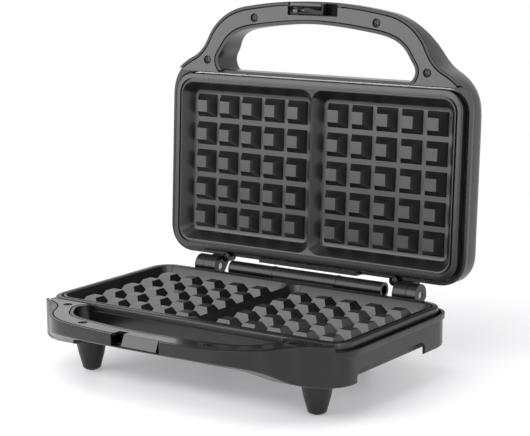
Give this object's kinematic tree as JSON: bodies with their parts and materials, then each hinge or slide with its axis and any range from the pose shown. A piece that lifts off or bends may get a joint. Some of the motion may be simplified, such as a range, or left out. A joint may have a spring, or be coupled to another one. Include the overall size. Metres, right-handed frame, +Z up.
{
  "type": "waffle maker",
  "caption": "Hinged double waffle maker, lid open, pyramid-grid plates, bowed handles on both halves, tapered feet and a sliding latch.",
  "frame": {"origin": "centre of the footprint box, on the plane the feet stand on, with the lid open", "axes": "+X to the right seen from the handles, +Y from the handles to the hinge, +Z up"},
  "size_m": [0.3, 0.283, 0.295],
  "materials": {
    "shell_plastic": "satin moulded plastic",
    "dark_plastic": "satin moulded plastic",
    "latch_plastic": "polished black plastic",
    "cover_gloss": "glossy dark grey plastic",
    "coated_plate": "dark non-stick coating on cast aluminium",
    "screw_steel": "blackened steel screw",
    "sheet_steel": "bare sheet steel",
    "bright_steel": "steel tube and pins",
    "bakelite": "brown moulded resin",
    "ceramic": "white ceramic",
    "rubber": "matt rubber",
    "lens_red": "clear red lens",
    "lens_green": "clear green lens",
    "lamp_glass": "small glass lamp"
  },
  "bodies": {
    "base": {"base_shell": "shell_plastic", "base_pan": "dark_plastic", "base_handle_cover": "cover_gloss", "lower_plate": "coated_plate", "lower_reflector": "sheet_steel", "lower_element": "bright_steel", "lower_thermostat": "bakelite", "lower_thermal_fuse": "ceramic", "terminal_block": "ceramic", "cord_gland": "rubber", "wire_tunnel": "shell_plastic", "hinge_pin_left": "bright_steel", "hinge_pin_right": "bright_steel", "lower_plate_screw_front": "screw_steel", "lower_plate_screw_rear": "screw_steel", "foot_front_left": "dark_plastic", "foot_pad_front_left": "rubber", "pan_screw_front_left": "screw_steel", "foot_front_right": "dark_plastic", "foot_pad_front_right": "rubber", "pan_screw_front_right": "screw_steel", "foot_rear_left": "dark_plastic", "foot_pad_rear_left": "rubber", "pan_screw_rear_left": "screw_steel", "foot_rear_right": "dark_plastic", "foot_pad_rear_right": "rubber", "pan_screw_rear_right": "screw_steel", "base_cover_screw_left_1": "screw_steel", "base_cover_screw_left_2": "screw_steel", "base_cover_screw_right_1": "screw_steel", "base_cover_screw_right_2": "screw_steel"},
    "lid": {"lid_shell": "shell_plastic", "lid_handle_cover": "cover_gloss", "upper_plate": "coated_plate", "upper_reflector": "sheet_steel", "upper_element": "bright_steel", "upper_thermal_fuse": "ceramic", "power_lens": "lens_red", "power_lamp": "lamp_glass", "ready_lens": "lens_green", "ready_lamp": "lamp_glass", "upper_plate_screw_front": "screw_steel", "upper_plate_screw_rear": "screw_steel", "lid_rear_screw_left": "screw_steel", "lid_cover_screw_left_1": "screw_steel", "lid_cover_screw_left_2": "screw_steel", "lid_rear_screw_right": "screw_steel", "lid_cover_screw_right_1": "screw_steel", "lid_cover_screw_right_2": "screw_steel"},
    "latch": {"latch_slider": "latch_plastic"}
  },
  "joints": [
    {"name": "lid_hinge", "type": "hinge", "parent": "base", "child": "lid", "pos_m": [0, 0.09288, 0.0615], "axis": [1, 0, 0], "range_deg": [0, 93.35]},
    {"name": "latch_slide", "type": "slide", "parent": "lid", "child": "latch", "axis": [1, 0, 0], "range_m": [0, 0.014]}
  ]
}
